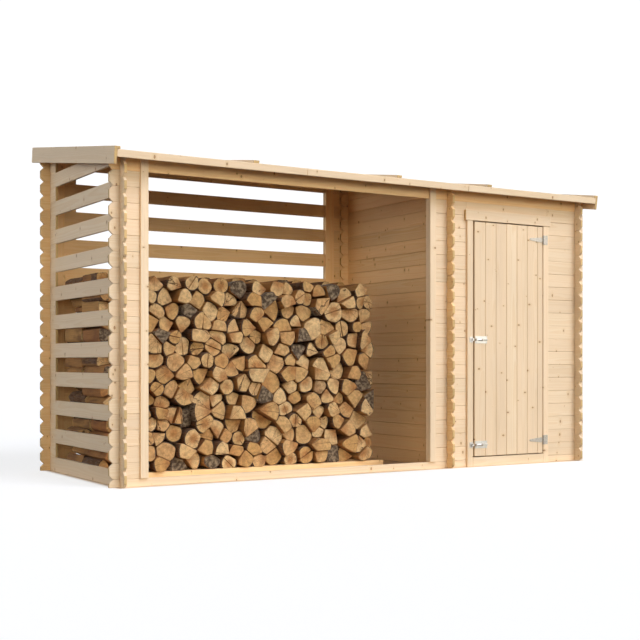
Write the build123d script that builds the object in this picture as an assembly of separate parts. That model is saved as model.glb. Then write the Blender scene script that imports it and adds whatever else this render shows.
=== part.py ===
"""Log store with a tool shed at one end, built of interlocking boards, one solid per real piece.

Millimetres, +Z up, the front faces -Y. The origin is on the ground under the middle of the roof.
Walls along X (front and back) have their board joints half a course above those of the walls along Y
(left, partition and right), so the boards of two crossing walls hook into each other.
"""

import math
import os

from build123d import *

# House
COURSE = 82.0  # height that one board covers
BOARD = 16.0  # thickness of a board
HOUSE_DEPTH = 1100.0  # front face of the front wall to rear face of the back wall
BAY_LENGTH = 2054.0  # clear width between the left wall and the partition
FRONT_COURSES = 20.5  # number of boards in the front wall, the foot board being half a board
ROOF_RISE = 164.0  # how much higher the roof lies on the back wall
BOARD_END = 57.0  # how far a board runs past a crossing
END_CHAMFER = 20.0  # corner cut off each board end
SLAT_BLOCK = 94.0  # how far a block of the left wall runs in from a crossing, beside the open slats
BACK_BLOCK_LEFT = 142.0  # how far the bay's back blocks run in from the left wall
BACK_BLOCK_RIGHT = 120.0  # how far they reach from the right end of the slats
SLATS_GAP = 13.0  # between the slats of the bay and the ends of the shed's back boards

# Posts of the bay and of the door
POST_WIDTH = 43.0
POST_DEPTH = 44.0
POST_GROOVE = 14.0  # how far a wall board enters a post
POST_PROUD = 14.0  # how far a post stands out of the wall's front face
BAY_POST_INSET = 91.0  # side wall or partition to the near side of the bay post
CORNER_STRIP_WIDTH = 64.0
CORNER_STRIP_DEPTH = 20.0
OUTER_STRIP_WIDTH = 64.0

# Door
DOOR_POST_INSET = 129.0  # partition to the near side of the door post
DOOR_OPENING = 566.0  # between the door posts
DOOR_POST_RIGHT_INSET = 237.0  # far side of the right door post to the right wall
THRESHOLD_HEIGHT = 55.0
OVER_DOOR = 111.0  # height of the wall between the door and the top board
HEAD_TRIM_HEIGHT = 63.0
HEAD_TRIM_DEPTH = 18.0
HEAD_TRIM_END = 15.0  # how far the trim runs past the door posts
DOOR_GAP_LATCH = 12.0
DOOR_GAP_HINGE = 6.0
DOOR_GAP_ENDS = 6.0
LEAF_BOARD_WIDTH = 84.0
LEAF_GROOVE = 3.0
LEDGE_WIDTH = 90.0
LEDGE_DEPTH = 18.0
LEDGE_INSET = 30.0  # ledge end to leaf edge
LEDGE_MARGIN = 75.0  # leaf end to the near edge of the outer ledges
BRACE_WIDTH = 70.0

# Hinges and bolts of the door
HINGE_MARGIN = 82.0  # leaf end to the middle of a hinge
HINGE_PLATE_HEIGHT = 57.0
HINGE_PLATE_WIDTH = 36.0
HINGE_SHEET = 3.0
STRAP_LENGTH = 112.0
STRAP_ROOT = 32.0
STRAP_TIP = 14.0
KNUCKLE_RADIUS = 6.0
KNUCKLE_GAP = 0.6
HINGE_PLATE_GAP = 1.0  # knuckle to the plate beside it
STRAP_KNUCKLE = 20.0
BOLT_Z = (131.0, 767.0)
BOLT_RADIUS = 5.0
KNOB_RADIUS = 4.0
KNOB_LENGTH = 18.0
BOLT_LENGTH = 90.0
BOLT_PLATE_LENGTH = 92.0
BOLT_PLATE_HEIGHT = 44.0
BOLT_SHEET = 2.0
BOLT_EDGE = 3.0  # leaf edge to the bolt plate
BOLT_GUIDE_WIDTH = 9.0
BOLT_GUIDE_PITCH = 49.0  # first guide to second guide
BOLT_KNOB_PLACE = 44.0  # rod tip to knob
BOLT_CLEARANCE = 0.5
KEEPER_EDGE = 3.0  # post edge to the keeper
KEEPER_LENGTH = 24.0
KEEPER_HEIGHT = 34.0

# Roof, in its own tilted frame: X, up the slope, and out of the boards
ROOF_BOARD = 16.0
SIDE_OVERHANG = 74.0  # side wall to the outer face of the bargeboard
EAVES_OVERHANG = 115.0  # front wall to the front face of the fascia, along the slope
REAR_OVERHANG = 92.0
BARGE_HEIGHT = 88.0
FASCIA_HEIGHT = 38.0
BATTEN_WIDTH = 35.0
BATTEN_HEIGHT = 15.0
EDGE_BATTEN_WIDTH = 16.0
PANEL_ENDS = (1033.0, 2145.0)  # joints of roof boards and fascia, from the left wall
PANEL_GAP = 0.8
BATTEN_PLACES = (700.0, 1623.0, 2285.0)  # left sides of the battens, from the left wall

# Firewood
WOOD_FREE = 298.0  # clear width between the stack and the partition
WOOD_TOPS = (1095.0, 1118.0)  # front row and back row
WOOD_FRONT = 320.0  # from the inner face of the front wall
BILLET = 262.0  # length of a log
BILLET_GAP = 4.0
WOOD_UNEVEN = 12.0  # how far the logs at the top and the free end stand back or forward
LOG_PITCH = 104.0
LOG_COURSE = 75.0
LOG_RADIUS = 74.0  # from the pith to the bark of a split log
LOG_PROUD = 20.0  # how far single ends stand out of the front of the stack
LOG_PROUD_UNEVEN = 6.0
LOG_PRESSED = 0.8  # height of an end against its width
BEARER_HEIGHT = 34.0
BEARER_WIDTH = 45.0
BEARER_PAST = 70.0  # how far the bearers run on past the free end of the stack

# Where things stand
HOUSE_LENGTH = (
    3 * BOARD + BAY_LENGTH + DOOR_POST_INSET + 2 * POST_WIDTH + DOOR_OPENING + DOOR_POST_RIGHT_INSET
)
SLOPE = math.atan2(ROOF_RISE, HOUSE_DEPTH - BOARD)
ROOF_TOP = ROOF_BOARD + BATTEN_HEIGHT
ROOF_FRONT = -EAVES_OVERHANG
ROOF_REAR = HOUSE_DEPTH / math.cos(SLOPE) + REAR_OVERHANG
LOWEST_FRONT = ROOF_FRONT * math.cos(SLOPE) - ROOF_TOP * math.sin(SLOPE)
LOWEST_REAR = ROOF_REAR * math.cos(SLOPE) + (BARGE_HEIGHT - ROOF_TOP) * math.sin(SLOPE)
FRONT = -(LOWEST_FRONT + LOWEST_REAR) / 2
BACK = FRONT + HOUSE_DEPTH - BOARD
LEFT = -HOUSE_LENGTH / 2
RIGHT = -LEFT - BOARD
PARTITION = LEFT + BOARD + BAY_LENGTH
EAVES_Z = FRONT_COURSES * COURSE
HEADER_Z = EAVES_Z - COURSE
DOOR_HEAD_Z = HEADER_Z - OVER_DOOR
SILL_Z = COURSE / 2
BACK_TOP = EAVES_Z + ROOF_RISE
FAR_ABOVE = BACK_TOP + COURSE

BAY_POST_LEFT = LEFT + BOARD + BAY_POST_INSET
BAY_POST_RIGHT = PARTITION - BAY_POST_INSET - POST_WIDTH
DOOR_POST_LEFT = PARTITION + BOARD + DOOR_POST_INSET
DOOR_LEFT = DOOR_POST_LEFT + POST_WIDTH
DOOR_RIGHT = DOOR_LEFT + DOOR_OPENING
DOOR_POST_RIGHT = DOOR_RIGHT
POST_FRONT = FRONT - POST_PROUD

LEAF_LEFT = DOOR_LEFT + DOOR_GAP_LATCH
LEAF_RIGHT = DOOR_RIGHT - DOOR_GAP_HINGE
LEAF_BOTTOM = THRESHOLD_HEIGHT + DOOR_GAP_ENDS
LEAF_TOP = DOOR_HEAD_Z - DOOR_GAP_ENDS
HINGE_X = DOOR_RIGHT - DOOR_GAP_HINGE / 2
HINGE_Y = POST_FRONT - KNUCKLE_RADIUS

ROOF = Plane(
    origin=(0, FRONT, EAVES_Z),
    x_dir=(1, 0, 0),
    z_dir=(0, -math.sin(SLOPE), math.cos(SLOPE)),
)


# Shapes
def block(x0, x1, y0, y1, z0, z1):
    """A box between two corners."""
    centre = Pos((x0 + x1) / 2, (y0 + y1) / 2, (z0 + z1) / 2)
    return centre * Box(x1 - x0, y1 - y0, z1 - z0)


def roof_block(x0, x1, u0, u1, v0, v1):
    """A box in the roof's tilted frame."""
    return ROOF.location * block(x0, x1, u0, u1, v0, v1)


def under_roof(shape):
    """What of a shape lies under the roof boards."""
    above = roof_block(
        LEFT - HOUSE_DEPTH, -LEFT + HOUSE_DEPTH, -HOUSE_DEPTH, 3 * HOUSE_DEPTH, 0, HOUSE_DEPTH
    )
    return shape - above


def patch(s0, s1, z0, z1):
    """A rectangle in a wall's own plane."""
    return Pos((s0 + s1) / 2, (z0 + z1) / 2) * Rectangle(s1 - s0, z1 - z0)


def wall_face(s0, s1, z0, z1, first_joint, crossings, free_ends):
    """Outline of a stack of boards, with chamfered free ends and the notches of its crossings.

    s runs along the wall. Joints lie a course apart, counted from first_joint.
    """
    face = patch(s0, s1, z0, z1)
    cuts = []
    joint = first_joint
    while joint < z1 + COURSE:
        if joint > z0 - COURSE:
            for crossing in crossings:
                cuts.append(patch(crossing, crossing + BOARD, joint - COURSE / 4, joint + COURSE / 4))
            for end in free_ends:
                inward = END_CHAMFER if end == s0 else -END_CHAMFER
                cuts.append(
                    make_face(
                        Polyline(
                            (end - inward / 4, joint - END_CHAMFER * 1.25),
                            (end + inward, joint),
                            (end - inward / 4, joint + END_CHAMFER * 1.25),
                            close=True,
                        )
                    )
                )
        joint += COURSE
    return face - cuts if cuts else face


def along_x(y, s0, s1, z0, z1, crossings=(), free_ends=()):
    """A piece of a wall along X, whose rear face is a board's thickness behind y."""
    plane = Plane(origin=(0, y + BOARD, 0), x_dir=(1, 0, 0), z_dir=(0, -1, 0))
    face = wall_face(s0, s1, z0, z1, COURSE / 2, crossings, free_ends)
    return extrude(plane.location * face, BOARD)


def along_y(x, s0, s1, z0, z1, crossings=(), free_ends=()):
    """A piece of a wall along Y, from x to a board's thickness right of it."""
    plane = Plane(origin=(x, 0, 0), x_dir=(0, 1, 0), z_dir=(1, 0, 0))
    face = wall_face(s0, s1, z0, z1, 0, crossings, free_ends)
    return extrude(plane.location * face, BOARD)


FRONT_END = FRONT - BOARD_END
BACK_END = BACK + BOARD + BOARD_END
LEFT_END = LEFT - BOARD_END
RIGHT_END = RIGHT + BOARD + BOARD_END


# Slatted left wall
def left_wall_slats():
    """Every second board of the left wall runs through."""
    slats = []
    for course in range(0, math.ceil(FRONT_COURSES), 2):
        low = course * COURSE
        slat = along_y(
            LEFT, FRONT_END, BACK_END, low, low + COURSE, (FRONT, BACK), (FRONT_END, BACK_END)
        )
        slats.append(under_roof(slat) if low + COURSE > EAVES_Z else slat)
    return slats


def left_wall_front_blocks():
    """Short blocks carry the slats at the front corner."""
    blocks = []
    for course in range(1, int(FRONT_COURSES), 2):
        low = course * COURSE
        blocks.append(
            along_y(
                LEFT, FRONT_END, FRONT + BOARD + SLAT_BLOCK, low, low + COURSE, (FRONT,), (FRONT_END,)
            )
        )
    return blocks


def left_wall_back_blocks():
    """Short blocks at the back corner, the last one up to the roof."""
    blocks = []
    low = COURSE
    while low < BACK_TOP - COURSE:
        top = low > BACK_TOP - 3 * COURSE
        high = FAR_ABOVE if top else low + COURSE
        part = along_y(LEFT, BACK - SLAT_BLOCK, BACK_END, low, high, (BACK,), (BACK_END,))
        blocks.append(under_roof(part) if top else part)
        low += 2 * COURSE
    return blocks


# Slatted back wall of the bay
SHED_BACK_LEFT = PARTITION - BOARD_END
SLATS_RIGHT = SHED_BACK_LEFT - SLATS_GAP
BACK_BLOCKS_END = LEFT + BOARD + BACK_BLOCK_LEFT
BACK_BLOCKS_START = SLATS_RIGHT - BACK_BLOCK_RIGHT


def bay_back_slats():
    """The foot board and every second board above it, up to the roof."""
    slats = [along_x(BACK, LEFT_END, SLATS_RIGHT, 0, SILL_Z, (LEFT,), (LEFT_END,))]
    low = 1.5 * COURSE
    while low < BACK_TOP - COURSE / 2:
        top = low > BACK_TOP - 1.5 * COURSE
        high = FAR_ABOVE if top else low + COURSE
        slat = along_x(BACK, LEFT_END, SLATS_RIGHT, low, high, (LEFT,), (LEFT_END,))
        slats.append(under_roof(slat) if top else slat)
        low += 2 * COURSE
    return slats


def bay_back_blocks(s0, s1, crossings, free_ends):
    """Short blocks between the slats, at one end of the bay's back wall."""
    blocks = []
    low = COURSE / 2
    while low < BACK_TOP - COURSE:
        blocks.append(along_x(BACK, s0, s1, low, low + COURSE, crossings, free_ends))
        low += 2 * COURSE
    return blocks


def corner_strip(x):
    """Upright strip that ties the slats and blocks from inside."""
    strip = block(x, x + CORNER_STRIP_WIDTH, BACK - CORNER_STRIP_DEPTH, BACK, 0, FAR_ABOVE)
    return under_roof(strip)


def outer_strip():
    """Upright strip on the outside that joins the slats to the shed's back wall and closes the gap."""
    middle = (SLATS_RIGHT + SHED_BACK_LEFT) / 2
    rear = BACK + BOARD
    half = OUTER_STRIP_WIDTH / 2
    strip = block(middle - half, middle + half, rear, rear + CORNER_STRIP_DEPTH, 0, FAR_ABOVE)
    return under_roof(strip)


# Closed walls
def cross_wall(x):
    """A closed wall along Y, up to the roof."""
    wall = along_y(x, FRONT_END, BACK_END, 0, FAR_ABOVE, (FRONT, BACK), (FRONT_END, BACK_END))
    return under_roof(wall)


def shed_back_wall():
    """The back of the shed, whose board ends stand into the bay."""
    return under_roof(
        along_x(
            BACK,
            SHED_BACK_LEFT,
            RIGHT_END,
            0,
            FAR_ABOVE,
            (PARTITION, RIGHT),
            (SHED_BACK_LEFT, RIGHT_END),
        )
    )


# Front wall
def bay_sill():
    """Half a board, from the left corner to the door post."""
    right = DOOR_POST_LEFT + POST_GROOVE
    return along_x(FRONT, LEFT_END, right, 0, SILL_Z, (LEFT, PARTITION), (LEFT_END,))


def front_wall_left():
    """Short boards between the left corner and the bay post."""
    right = BAY_POST_LEFT + POST_GROOVE
    return along_x(FRONT, LEFT_END, right, SILL_Z, HEADER_Z, (LEFT,), (LEFT_END,))


def front_wall_middle():
    """Short boards between the bay post and the door post, through the partition."""
    left = BAY_POST_RIGHT + POST_WIDTH - POST_GROOVE
    in_post = along_x(
        FRONT, left, DOOR_POST_LEFT + POST_GROOVE, SILL_Z, DOOR_HEAD_Z, (PARTITION,)
    )
    above = along_x(FRONT, left, DOOR_POST_LEFT, DOOR_HEAD_Z, HEADER_Z, (PARTITION,))
    return in_post + above


def front_wall_right():
    """Boards between the door post and the right corner."""
    outside = DOOR_POST_RIGHT + POST_WIDTH
    in_post = along_x(
        FRONT, outside - POST_GROOVE, RIGHT_END, 0, DOOR_HEAD_Z, (RIGHT,), (RIGHT_END,)
    )
    above = along_x(FRONT, outside, RIGHT_END, DOOR_HEAD_Z, HEADER_Z, (RIGHT,), (RIGHT_END,))
    return in_post + above


def over_door_wall():
    """Boards over the door, between the two other pieces of the front wall."""
    right = DOOR_POST_RIGHT + POST_WIDTH
    return along_x(FRONT, DOOR_POST_LEFT, right, DOOR_HEAD_Z, HEADER_Z)


def front_top_board():
    """The header, the one board that runs the whole length."""
    crossings = (LEFT, PARTITION, RIGHT)
    board = along_x(FRONT, LEFT_END, RIGHT_END, HEADER_Z, FAR_ABOVE, crossings, (LEFT_END, RIGHT_END))
    return under_roof(board)


# Posts
def grooved_post(x, z0, z1, wall_on_right):
    """An upright that the ends of the wall boards slot into."""
    post = block(x, x + POST_WIDTH, POST_FRONT, POST_FRONT + POST_DEPTH, z0, z1)
    near = x + POST_WIDTH - POST_GROOVE if wall_on_right else x
    far = near + POST_GROOVE
    return post - block(near, far, FRONT, FRONT + BOARD, z0, z1)


def bay_post(x, wall_on_right):
    """A grooved post that straddles the header on its way to the roof."""
    post = grooved_post(x, SILL_Z, EAVES_Z + COURSE, wall_on_right)
    header_slot = block(x, x + POST_WIDTH, FRONT, FRONT + BOARD, HEADER_Z, EAVES_Z + COURSE)
    return under_roof(post) - header_slot


def door_threshold():
    """The board that closes the frame at the foot of the door."""
    return block(DOOR_LEFT, DOOR_RIGHT, POST_FRONT, POST_FRONT + POST_DEPTH, 0, THRESHOLD_HEIGHT)


def door_head_trim():
    """The strip across the wall above the door."""
    left = DOOR_POST_LEFT - HEAD_TRIM_END
    right = DOOR_POST_RIGHT + POST_WIDTH + HEAD_TRIM_END
    return block(left, right, FRONT - HEAD_TRIM_DEPTH, FRONT, DOOR_HEAD_Z, DOOR_HEAD_Z + HEAD_TRIM_HEIGHT)


# Door
def door_boards():
    """The leaf, with the joints of its upright boards as grooves on both faces."""
    leaf = block(LEAF_LEFT, LEAF_RIGHT, POST_FRONT, POST_FRONT + BOARD, LEAF_BOTTOM, LEAF_TOP)
    grooves = []
    x = LEAF_LEFT + LEAF_BOARD_WIDTH
    while x < LEAF_RIGHT - LEAF_BOARD_WIDTH / 4:
        for y in (POST_FRONT, POST_FRONT + BOARD):
            diamond = Rectangle(LEAF_GROOVE * math.sqrt(2), LEAF_GROOVE * math.sqrt(2), rotation=45)
            grooves.append(extrude(Pos(x, y, LEAF_BOTTOM) * diamond, LEAF_TOP - LEAF_BOTTOM))
        x += LEAF_BOARD_WIDTH
    return leaf - grooves


LEDGE_LOWS = (
    LEAF_BOTTOM + LEDGE_MARGIN,
    (LEAF_BOTTOM + LEAF_TOP - LEDGE_WIDTH) / 2,
    LEAF_TOP - LEDGE_MARGIN - LEDGE_WIDTH,
)


def door_ledges():
    """Three boards across the inside of the leaf."""
    near = POST_FRONT + BOARD
    left = LEAF_LEFT + LEDGE_INSET
    right = LEAF_RIGHT - LEDGE_INSET
    return [
        block(left, right, near, near + LEDGE_DEPTH, low, low + LEDGE_WIDTH) for low in LEDGE_LOWS
    ]


def door_braces():
    """Two slanting boards that rise from the hinge side, between the ledges."""
    near = POST_FRONT + BOARD
    left = LEAF_LEFT + LEDGE_INSET
    right = LEAF_RIGHT - LEDGE_INSET
    plane = Plane(origin=(0, near + LEDGE_DEPTH, 0), x_dir=(1, 0, 0), z_dir=(0, -1, 0))
    braces = []
    for ledge_below, high in zip(LEDGE_LOWS, LEDGE_LOWS[1:]):
        low = ledge_below + LEDGE_WIDTH
        run = right - left - BRACE_WIDTH
        width = BRACE_WIDTH * math.hypot(run, high - low) / (high - low)
        outline = Polyline(
            (right, low), (left + width, high), (left, high), (right - width, low), close=True
        )
        braces.append(extrude(plane.location * make_face(outline), LEDGE_DEPTH))
    return braces


# Hinges
HINGE_ZS = (LEAF_BOTTOM + HINGE_MARGIN, LEAF_TOP - HINGE_MARGIN)


def hinge_straps():
    """The tapering straps on the leaf, each with its knuckle."""
    straps = []
    for z in HINGE_ZS:
        plane = Plane(origin=(HINGE_X, POST_FRONT, z), x_dir=(-1, 0, 0), z_dir=(0, -1, 0))
        start = KNUCKLE_RADIUS / 2
        end = STRAP_LENGTH - STRAP_TIP / 2
        outline = Polyline(
            (start, -STRAP_KNUCKLE / 2),
            (KNUCKLE_RADIUS * 2, -STRAP_KNUCKLE / 2),
            (KNUCKLE_RADIUS * 2, -STRAP_ROOT / 2),
            (end, -STRAP_TIP / 2),
            (end, STRAP_TIP / 2),
            (KNUCKLE_RADIUS * 2, STRAP_ROOT / 2),
            (KNUCKLE_RADIUS * 2, STRAP_KNUCKLE / 2),
            (start, STRAP_KNUCKLE / 2),
            close=True,
        )
        flat = make_face(outline) + Pos(end, 0) * Circle(STRAP_TIP / 2)
        sheet = extrude(plane.location * flat, HINGE_SHEET)
        knuckle = Pos(HINGE_X, HINGE_Y, z) * Cylinder(KNUCKLE_RADIUS, STRAP_KNUCKLE)
        straps.append(sheet + knuckle)
    return straps


def hinge_plates():
    """The plates on the right post, each with the two outer knuckles."""
    plates = []
    for z in HINGE_ZS:
        low = z - HINGE_PLATE_HEIGHT / 2
        left = HINGE_X + KNUCKLE_RADIUS + HINGE_PLATE_GAP
        right = HINGE_X + HINGE_PLATE_WIDTH
        plate = block(left, right, POST_FRONT - HINGE_SHEET, POST_FRONT, low, low + HINGE_PLATE_HEIGHT)
        length = (HINGE_PLATE_HEIGHT - STRAP_KNUCKLE) / 2 - KNUCKLE_GAP
        for centre in (low + length / 2, low + HINGE_PLATE_HEIGHT - length / 2):
            wing = block(
                HINGE_X, left, POST_FRONT - HINGE_SHEET, POST_FRONT, centre - length / 2, centre + length / 2
            )
            plate = plate + wing + Pos(HINGE_X, HINGE_Y, centre) * Cylinder(KNUCKLE_RADIUS, length)
        plates.append(plate)
    return plates


# Bolts
BOLT_LEFT = LEAF_LEFT + BOLT_EDGE
BOLT_AXIS_Y = POST_FRONT - BOLT_SHEET - BOLT_RADIUS - BOLT_CLEARANCE
GUIDE_HALF = BOLT_RADIUS + BOLT_CLEARANCE + BOLT_SHEET


def guide(x0, x1, z):
    """A bridge over the rod, open at both ends."""
    front = BOLT_AXIS_Y - GUIDE_HALF
    body = block(x0, x1, front, POST_FRONT - BOLT_SHEET, z - GUIDE_HALF, z + GUIDE_HALF)
    bore = Pos((x0 + x1) / 2, BOLT_AXIS_Y, z) * Rot(0, 90, 0) * Cylinder(
        BOLT_RADIUS + BOLT_CLEARANCE, 2 * (x1 - x0)
    )
    return body - bore


def bolt_guides():
    """The plate of each bolt on the leaf, with the bridges that hold its rod."""
    guides = []
    for z in BOLT_Z:
        half = BOLT_PLATE_HEIGHT / 2
        right = BOLT_LEFT + BOLT_PLATE_LENGTH
        plate = block(BOLT_LEFT, right, POST_FRONT - BOLT_SHEET, POST_FRONT, z - half, z + half)
        for x in (BOLT_LEFT, BOLT_LEFT + BOLT_GUIDE_PITCH):
            plate = plate + guide(x, x + BOLT_GUIDE_WIDTH, z)
        guides.append(plate)
    return guides


def bolt_rod(z):
    """The sliding rod and its knob."""
    rod = Pos(BOLT_LEFT + BOLT_LENGTH / 2, BOLT_AXIS_Y, z) * Rot(0, 90, 0) * Cylinder(
        BOLT_RADIUS, BOLT_LENGTH
    )
    knob = Pos(BOLT_LEFT + BOLT_KNOB_PLACE, BOLT_AXIS_Y - KNOB_LENGTH / 2, z) * Rot(90, 0, 0) * Cylinder(
        KNOB_RADIUS, KNOB_LENGTH
    )
    return rod + knob


def bolt_keepers():
    """The keeper of each bolt on the left post."""
    keepers = []
    for z in BOLT_Z:
        right = DOOR_LEFT - KEEPER_EDGE
        left = right - KEEPER_LENGTH
        half = KEEPER_HEIGHT / 2
        plate = block(left, right, POST_FRONT - BOLT_SHEET, POST_FRONT, z - half, z + half)
        keepers.append(plate + guide(right - BOLT_GUIDE_WIDTH, right, z))
    return keepers


# Roof
ROOF_LEFT = LEFT - SIDE_OVERHANG + BOARD
ROOF_RIGHT = -ROOF_LEFT


def panel_spans():
    """Left and right ends of the three lengths of roof and fascia."""
    joints = [LEFT + place for place in PANEL_ENDS]
    lefts = [ROOF_LEFT] + [joint + PANEL_GAP / 2 for joint in joints]
    rights = [joint - PANEL_GAP / 2 for joint in joints] + [ROOF_RIGHT]
    return list(zip(lefts, rights))


def roof_boards():
    """Three panels of boards that rest on the front and back walls."""
    return [
        roof_block(x0, x1, ROOF_FRONT + BOARD, ROOF_REAR - BOARD, 0, ROOF_BOARD)
        for x0, x1 in panel_spans()
    ]


def fascia(u):
    """Three boards end to end over the edge of the roof boards."""
    low = ROOF_BOARD - FASCIA_HEIGHT
    return [roof_block(x0, x1, u, u + BOARD, low, ROOF_BOARD) for x0, x1 in panel_spans()]


def bargeboard(x):
    """A deep board along a sloping edge of the roof."""
    return roof_block(x, x + BOARD, ROOF_FRONT, ROOF_REAR, ROOF_TOP - BARGE_HEIGHT, ROOF_TOP)


def roof_battens():
    """Battens up the slope."""
    return [
        roof_block(LEFT + x, LEFT + x + BATTEN_WIDTH, ROOF_FRONT, ROOF_REAR, ROOF_BOARD, ROOF_TOP)
        for x in BATTEN_PLACES
    ]


def roof_edge_battens():
    """The narrow batten beside each bargeboard."""
    return [
        roof_block(x, x + EDGE_BATTEN_WIDTH, ROOF_FRONT, ROOF_REAR, ROOF_BOARD, ROOF_TOP)
        for x in (ROOF_LEFT, ROOF_RIGHT - EDGE_BATTEN_WIDTH)
    ]


# Firewood
WOOD_LEFT = LEFT + BOARD
WOOD_RIGHT = PARTITION - WOOD_FREE
WOOD_ROWS = (
    FRONT + BOARD + WOOD_FRONT,
    FRONT + BOARD + WOOD_FRONT + BILLET + BILLET_GAP,
)


def firewood_bearers():
    """Rails that keep the stack off the ground, under the joints of its rows."""
    rear = WOOD_ROWS[1] + BILLET
    middle = WOOD_ROWS[1] - BILLET_GAP / 2
    fronts = (WOOD_ROWS[0], middle - BEARER_WIDTH / 2, rear - BEARER_WIDTH)
    right = WOOD_RIGHT + BEARER_PAST
    return [block(WOOD_LEFT, right, y, y + BEARER_WIDTH, 0, BEARER_HEIGHT) for y in fronts]


def log_edges(length, count, phase):
    """Places along a face of the stack and how far it falls short there, three for each log.

    Each log shows a flat side between two corners, with a dip before its neighbour.
    """
    pitch = length / count
    points = []
    for i in range(count):
        tilt = WOOD_UNEVEN * math.sin(2.4 * i + phase)
        lean = WOOD_UNEVEN * math.sin(1.7 * i + 2 * phase)
        points += [
            (pitch * i, 2 * WOOD_UNEVEN),
            (pitch * (i + 0.25), WOOD_UNEVEN + tilt),
            (pitch * (i + 0.75), WOOD_UNEVEN + lean),
        ]
    return points


def firewood_row(y, wood_top, phase):
    """A row of stacked logs as one solid, its top and free end in the outlines of single logs."""
    length = WOOD_RIGHT - WOOD_LEFT
    height = wood_top - BEARER_HEIGHT
    top = log_edges(length, round(length / LOG_PITCH), phase)
    side = log_edges(height, round(height / LOG_COURSE), phase + 1)
    outline = [(WOOD_LEFT, BEARER_HEIGHT)]
    outline += [(WOOD_LEFT + along, wood_top - short) for along, short in top]
    outline += [(WOOD_RIGHT - short, wood_top - along) for along, short in side[1:]]
    outline.append((WOOD_RIGHT - WOOD_UNEVEN, BEARER_HEIGHT))
    plane = Plane(origin=(0, y + BILLET, 0), x_dir=(1, 0, 0), z_dir=(0, -1, 0))
    return extrude(plane.location * make_face(Polyline(outline, close=True)), BILLET)


def proud_log_end(x, z, y, turn, proud):
    """The end of one split log: two split sides from the pith, and bark in three flats."""
    inward = -0.6 * LOG_RADIUS
    outline = [(inward * math.cos(turn), inward * math.sin(turn))]
    for degrees in (-45, -15, 15, 45):
        angle = turn + math.radians(degrees)
        outline.append((
            inward * math.cos(turn) + LOG_RADIUS * math.cos(angle),
            inward * math.sin(turn) + LOG_RADIUS * math.sin(angle),
        ))
    corners = [(x + along, z + LOG_PRESSED * up) for along, up in outline]
    plane = Plane(origin=(0, y + LOG_PROUD, 0), x_dir=(1, 0, 0), z_dir=(0, -1, 0))
    return extrude(plane.location * make_face(Polyline(corners, close=True)), LOG_PROUD + proud)


def firewood_front_row():
    """The front row, with the ends of single logs standing out of it."""
    y = WOOD_ROWS[0]
    length = WOOD_RIGHT - WOOD_LEFT
    height = WOOD_TOPS[0] - BEARER_HEIGHT
    columns = round(length / (2 * LOG_PITCH))
    courses = round(height / (3 * LOG_COURSE))
    ends = []
    for i in range(columns):
        for j in range(courses):
            x = WOOD_LEFT + length * (i + 0.25 + 0.4 * (j % 2)) / columns
            z = BEARER_HEIGHT + height * (j + 0.5) / courses
            turn = 2.4 * (i + 3 * j)
            proud = LOG_PROUD + LOG_PROUD_UNEVEN * math.sin(1.9 * turn)
            ends.append(proud_log_end(x, z, y, turn, proud))
    return firewood_row(y, WOOD_TOPS[0], 0.0).fuse(*ends)


def pieces():
    """Node names and the solids of each."""
    return {
        "left_wall_slats": left_wall_slats(),
        "left_wall_front_blocks": left_wall_front_blocks(),
        "left_wall_back_blocks": left_wall_back_blocks(),
        "bay_back_slats": bay_back_slats(),
        "bay_back_left_blocks": bay_back_blocks(LEFT_END, BACK_BLOCKS_END, (LEFT,), (LEFT_END,)),
        "bay_back_right_blocks": bay_back_blocks(BACK_BLOCKS_START, SLATS_RIGHT, (), ()),
        "bay_corner_strip_left": [corner_strip(LEFT + BOARD)],
        "bay_corner_strip_right": [corner_strip(BACK_BLOCKS_START)],
        "bay_outer_strip": [outer_strip()],
        "partition_wall": [cross_wall(PARTITION)],
        "right_wall": [cross_wall(RIGHT)],
        "shed_back_wall": [shed_back_wall()],
        "bay_sill": [bay_sill()],
        "front_wall_left": [front_wall_left()],
        "front_wall_middle": [front_wall_middle()],
        "front_wall_right": [front_wall_right()],
        "over_door_wall": [over_door_wall()],
        "front_top_board": [front_top_board()],
        "bay_post_left": [bay_post(BAY_POST_LEFT, False)],
        "bay_post_right": [bay_post(BAY_POST_RIGHT, True)],
        "door_post_left": [grooved_post(DOOR_POST_LEFT, 0, DOOR_HEAD_Z, False)],
        "door_post_right": [grooved_post(DOOR_POST_RIGHT, 0, DOOR_HEAD_Z, True)],
        "door_threshold": [door_threshold()],
        "door_head_trim": [door_head_trim()],
        "door_boards": [door_boards()],
        "door_ledges": door_ledges(),
        "door_braces": door_braces(),
        "hinge_straps": hinge_straps(),
        "hinge_plates": hinge_plates(),
        "bolt_guides": bolt_guides(),
        "lower_bolt": [bolt_rod(BOLT_Z[0])],
        "upper_bolt": [bolt_rod(BOLT_Z[1])],
        "bolt_keepers": bolt_keepers(),
        "roof_boards": roof_boards(),
        "front_fascia": fascia(ROOF_FRONT),
        "back_fascia": fascia(ROOF_REAR - BOARD),
        "bargeboard_left": [bargeboard(ROOF_LEFT - BOARD)],
        "bargeboard_right": [bargeboard(ROOF_RIGHT)],
        "roof_battens": roof_battens(),
        "roof_edge_battens": roof_edge_battens(),
        "firewood_bearers": firewood_bearers(),
        "firewood_front_row": [firewood_front_row()],
        "firewood_back_row": [firewood_row(WOOD_ROWS[1], WOOD_TOPS[1], 1.7)],
    }


os.makedirs("parts", exist_ok=True)
for name, solids in pieces().items():
    export_step(Compound(children=list(solids)) if len(solids) > 1 else solids[0], f"parts/{name}.step")
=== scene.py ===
"""Looks of the log store: its boards, firewood and ironwork, with floor, light and camera."""

import math
import random

import bmesh
import bpy
from mathutils import Matrix, Vector, noise


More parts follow.
